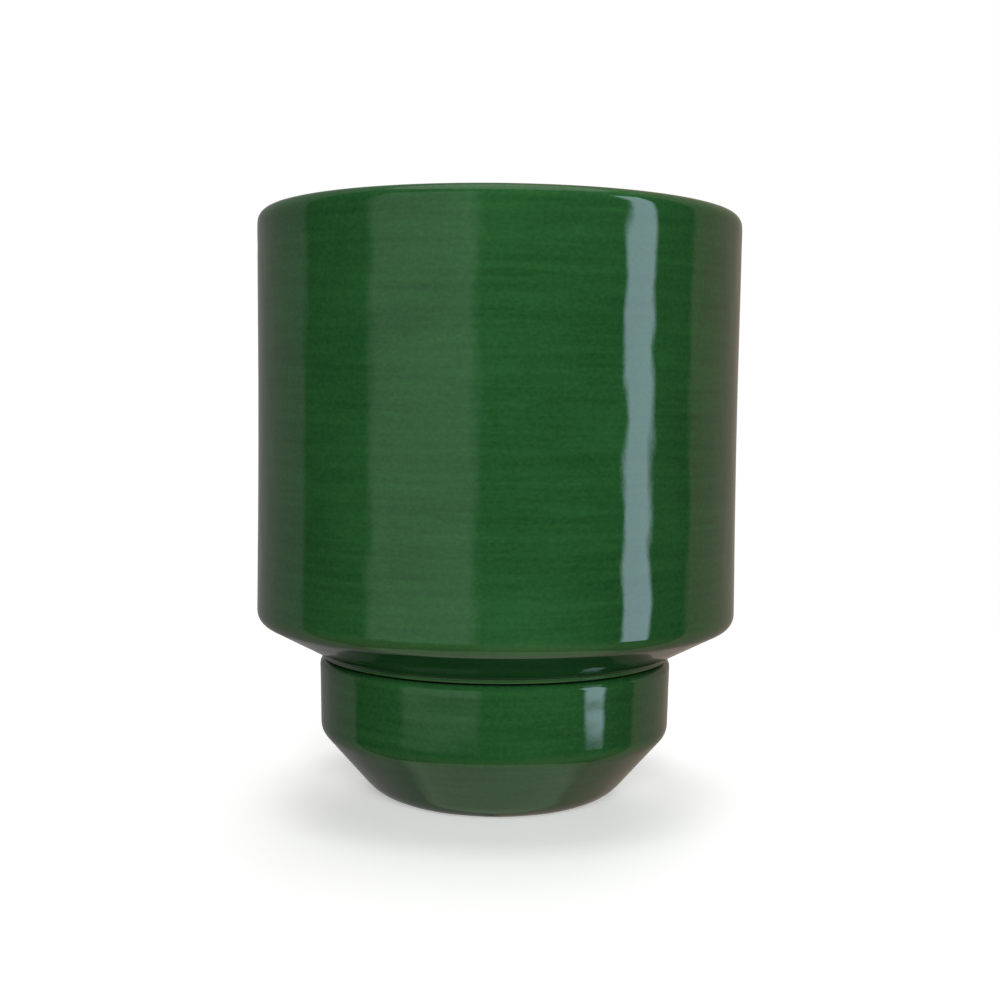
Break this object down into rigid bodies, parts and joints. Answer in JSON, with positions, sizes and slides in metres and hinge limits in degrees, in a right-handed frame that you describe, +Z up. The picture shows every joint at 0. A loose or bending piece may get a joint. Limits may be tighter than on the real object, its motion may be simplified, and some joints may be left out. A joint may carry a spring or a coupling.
{
  "type": "plant pot with saucer",
  "caption": "Wide round glazed terracotta plant pot with a drain hole, standing by its narrower foot in a separate deep saucer with a tapered base.",
  "frame": {"origin": "on the turning axis, in the plane of the saucer's foot ring, which is the centre of the bottom of the whole object's box", "axes": "+Z up along the turning axis; X and Y are alike, and one of the foot ring's three notches lies on +X"},
  "size_m": [0.25, 0.25, 0.3024],
  "materials": {
    "pot_glaze": "gloss",
    "saucer_glaze": "gloss",
    "bare_terracotta": "matt"
  },
  "bodies": {
    "saucer": {"saucer": "saucer_glaze"},
    "pot": {"pot": "pot_glaze"}
  },
  "joints": [
    {"name": "pot_lift", "type": "slide", "parent": "saucer", "child": "pot", "axis": [0, 0, 1], "range_m": [0, 0.08]}
  ]
}
